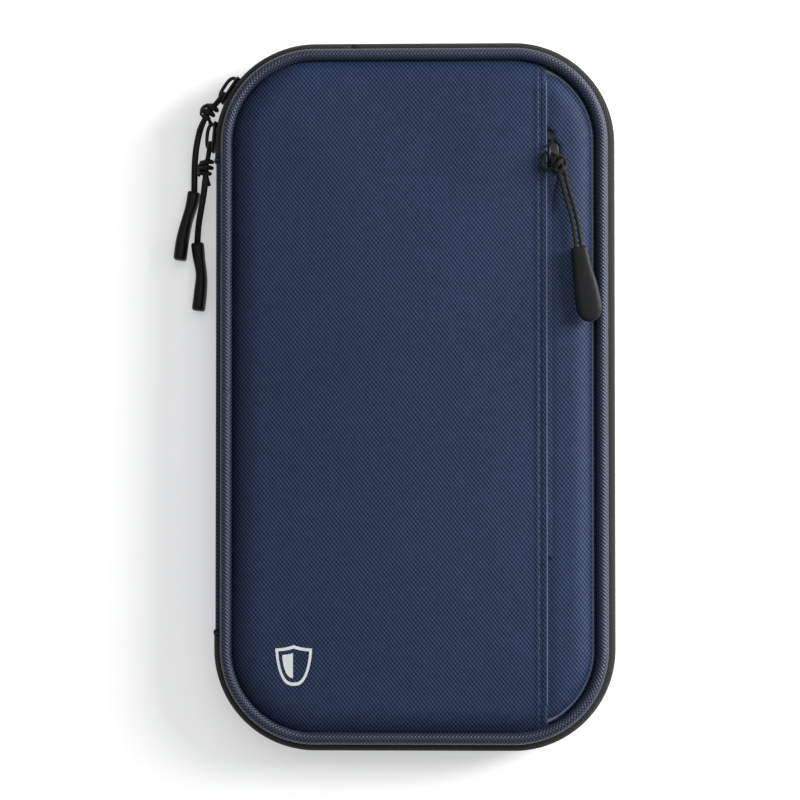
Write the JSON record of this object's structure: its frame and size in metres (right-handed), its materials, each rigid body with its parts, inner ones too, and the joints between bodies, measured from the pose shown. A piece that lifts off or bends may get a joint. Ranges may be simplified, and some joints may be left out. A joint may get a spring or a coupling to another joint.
{
  "type": "passport holder wallet",
  "caption": "Zip-around fabric travel wallet for passports and cards, with a stiffened shell, a hinged cover, a front zip pocket and cord zip pulls.",
  "frame": {"origin": "centre of the flat back face that the wallet lies on", "axes": "+X to the right, towards the front pocket zip; +Y up the cover, along its longest side; +Z out of the front face"},
  "size_m": [0.1508, 0.2398, 0.0308],
  "materials": {
    "navy_fabric": "textured nylon weave with raised dots",
    "navy_piping": "bias-cut weave over a cord",
    "black_tape": "woven zip tape",
    "black_coil": "nylon coil",
    "black_metal": "satin black",
    "black_cord": "braided cord",
    "black_rubber": "matte moulded rubber",
    "grey_lining": "plain polyester lining",
    "black_mesh": "open mesh",
    "elastic": "ribbed elastic",
    "board": "stiffening sheet",
    "foil": "blocking foil",
    "filler": "piping filler"
  },
  "bodies": {
    "back_half": {"back_binding": "black_tape", "back_board": "board", "back_lining": "grey_lining", "back_panel": "navy_fabric", "back_piping": "navy_piping", "back_piping_filler": "filler", "back_shield_foil": "foil", "back_zip_coil": "black_coil", "back_zip_tape": "black_tape", "passport_pocket_1": "grey_lining", "passport_pocket_2": "grey_lining", "passport_pocket_3": "grey_lining", "pen_loop": "elastic", "spine_board": "board", "spine_lining": "grey_lining", "spine_panel": "navy_fabric", "zip_end_coils": "black_coil", "zip_end_tabs": "navy_fabric", "zip_end_tapes": "black_tape"},
    "front_half": {"front_panel": "navy_fabric", "front_side_panel": "navy_fabric", "front_board": "board", "front_shield_foil": "foil", "front_lining": "grey_lining", "front_piping": "navy_piping", "front_piping_filler": "filler", "front_zip_tape": "black_tape", "front_zip_coil": "black_coil", "front_binding": "black_tape", "front_pocket_bag": "grey_lining", "pocket_zip_tapes": "black_tape", "pocket_zip_coils": "black_coil", "pocket_zip_stops": "black_metal", "card_slot_1": "grey_lining", "card_slot_2": "grey_lining", "card_slot_3": "grey_lining", "card_slot_4": "grey_lining", "card_slot_5": "grey_lining", "coin_pocket_mesh": "black_mesh", "coin_zip_tapes": "black_tape", "coin_zip_coils": "black_coil"},
    "main_slider_a": {"main_slider_a_body": "black_metal"},
    "main_pull_a": {"main_pull_a_cord": "black_cord", "main_pull_a_knot": "black_cord", "main_pull_a_grip": "black_rubber"},
    "main_slider_b": {"main_slider_b_body": "black_metal"},
    "main_pull_b": {"main_pull_b_cord": "black_cord", "main_pull_b_knot": "black_cord", "main_pull_b_grip": "black_rubber"},
    "pocket_slider": {"pocket_slider_body": "black_metal"},
    "pocket_pull": {"pocket_pull_cord": "black_cord", "pocket_pull_hitch": "black_cord", "pocket_pull_grip": "black_rubber"},
    "coin_slider": {"coin_slider_body": "black_metal"},
    "coin_pull": {"coin_pull_tab": "black_metal"}
  },
  "joints": [
    {"name": "cover_hinge", "type": "hinge", "parent": "back_half", "child": "front_half", "pos_m": [-0.0635, 0, 0.021], "axis": [0, -1, 0], "range_deg": [0, 155]},
    {"name": "main_slider_a_travel", "type": "hinge", "parent": "back_half", "child": "main_slider_a", "pos_m": [-0.0335, 0.0855, 0.013], "axis": [0, 0, -1], "range_deg": [0, 42]},
    {"name": "main_pull_a_lift", "type": "hinge", "parent": "main_slider_a", "child": "main_pull_a", "pos_m": [-0.06613, 0.10183, 0.013], "axis": [0.8406, -0.5417, 0], "range_deg": [-60, 0]},
    {"name": "main_slider_b_travel", "type": "hinge", "parent": "back_half", "child": "main_slider_b", "pos_m": [-0.0335, 0.0855, 0.013], "axis": [0, 0, -1], "range_deg": [-3, 0]},
    {"name": "main_pull_b_lift", "type": "hinge", "parent": "main_slider_b", "child": "main_pull_b", "pos_m": [-0.06998, 0.08473, 0.013], "axis": [0.9962, -0.0872, 0], "range_deg": [-60, 0]},
    {"name": "pocket_slider_travel", "type": "slide", "parent": "front_half", "child": "pocket_slider", "axis": [0, -1, 0], "range_m": [0, 0.125]},
    {"name": "pocket_pull_lift", "type": "hinge", "parent": "pocket_slider", "child": "pocket_pull", "pos_m": [0.0457, 0.0812, 0.0271], "axis": [-1, 0, 0], "range_deg": [0, 95]},
    {"name": "coin_slider_travel", "type": "slide", "parent": "front_half", "child": "coin_slider", "axis": [-1, 0, 0], "range_m": [0, 0.08]},
    {"name": "coin_pull_lift", "type": "hinge", "parent": "coin_slider", "child": "coin_pull", "pos_m": [0.0417, -0.016, 0.0165], "axis": [0, -1, 0], "range_deg": [0, 30]}
  ]
}
